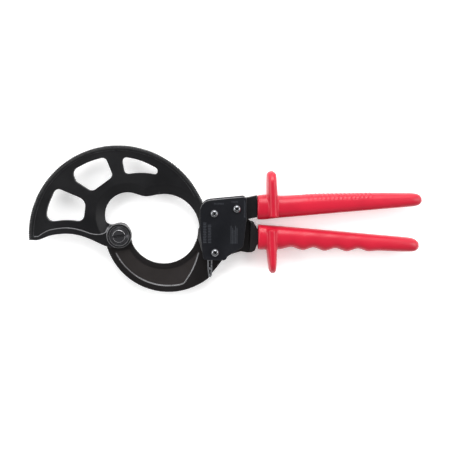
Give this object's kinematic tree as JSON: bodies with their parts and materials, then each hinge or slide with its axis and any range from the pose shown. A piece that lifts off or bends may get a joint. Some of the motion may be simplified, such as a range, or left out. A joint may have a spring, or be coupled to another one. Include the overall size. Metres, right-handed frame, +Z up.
{
  "type": "cable cutter",
  "caption": "Two-handed ratchet cable cutter with a toothed sector blade, a hooked fixed jaw, a plated head and red guarded grips.",
  "frame": {"origin": "middle of the lowest plane of the tool lying on its back, as seen from above", "axes": "+X along the tool from the blade to the grips, +Y across it towards the moving handle, +Z up, out of the front cover"},
  "size_m": [0.3726, 0.141, 0.0268],
  "materials": {
    "blackened_steel": "satin",
    "forged_steel": "satin",
    "coated_plate": "satin",
    "bright_steel": "polished",
    "hardened_steel": "satin",
    "spring_steel": "satin",
    "red_plastic": "gloss"
  },
  "bodies": {
    "frame": {"fixed_jaw": "forged_steel", "front_cover": "coated_plate", "back_cover": "coated_plate", "pivot_screw": "blackened_steel", "pivot_bush": "hardened_steel", "pivot_washer": "blackened_steel", "pivot_nut": "hardened_steel", "lower_grip": "red_plastic", "holding_pawl_spring": "spring_steel", "handle_pivot_screw": "bright_steel", "handle_pivot_sleeve": "hardened_steel", "handle_pivot_nut": "hardened_steel", "handle_stop_screw": "bright_steel", "handle_stop_sleeve": "hardened_steel", "handle_stop_nut": "hardened_steel", "lever_pivot_screw": "bright_steel", "lever_pivot_sleeve": "hardened_steel", "lever_pivot_nut": "hardened_steel"},
    "blade": {"cutting_blade": "blackened_steel"},
    "upper_handle": {"upper_handle_bar": "blackened_steel", "upper_grip": "red_plastic", "drive_pawl_spring": "spring_steel"},
    "drive_pawl": {"drive_pawl": "hardened_steel"},
    "release_lever": {"holding_pawl": "hardened_steel", "release_lever": "bright_steel", "lever_rivet": "hardened_steel"}
  },
  "joints": [
    {"name": "blade_pivot", "type": "hinge", "parent": "frame", "child": "blade", "pos_m": [-0.10095, -0.01493, 0.01655], "axis": [0, 0, 1], "range_deg": [-90, 45]},
    {"name": "handle_pivot", "type": "hinge", "parent": "frame", "child": "upper_handle", "pos_m": [-0.01135, 0.00607, 0.01655], "axis": [0, 0, 1], "range_deg": [0, 40]},
    {"name": "drive_pawl_pivot", "type": "hinge", "parent": "upper_handle", "child": "drive_pawl", "pos_m": [-0.00235, -0.00393, 0.01655], "axis": [0, 0, 1], "range_deg": [-51, 0]},
    {"name": "release_lever_pivot", "type": "hinge", "parent": "frame", "child": "release_lever", "pos_m": [-0.01075, -0.03083, 0.01655], "axis": [0, 0, 1], "range_deg": [0, 12], "stiffness_Nm_per_rad": 0.2, "deforming": ["holding_pawl_spring"]}
  ],
  "couplings": [
    {"joint": "drive_pawl_pivot", "follows": "handle_pivot", "ratio": -1.274}
  ]
}
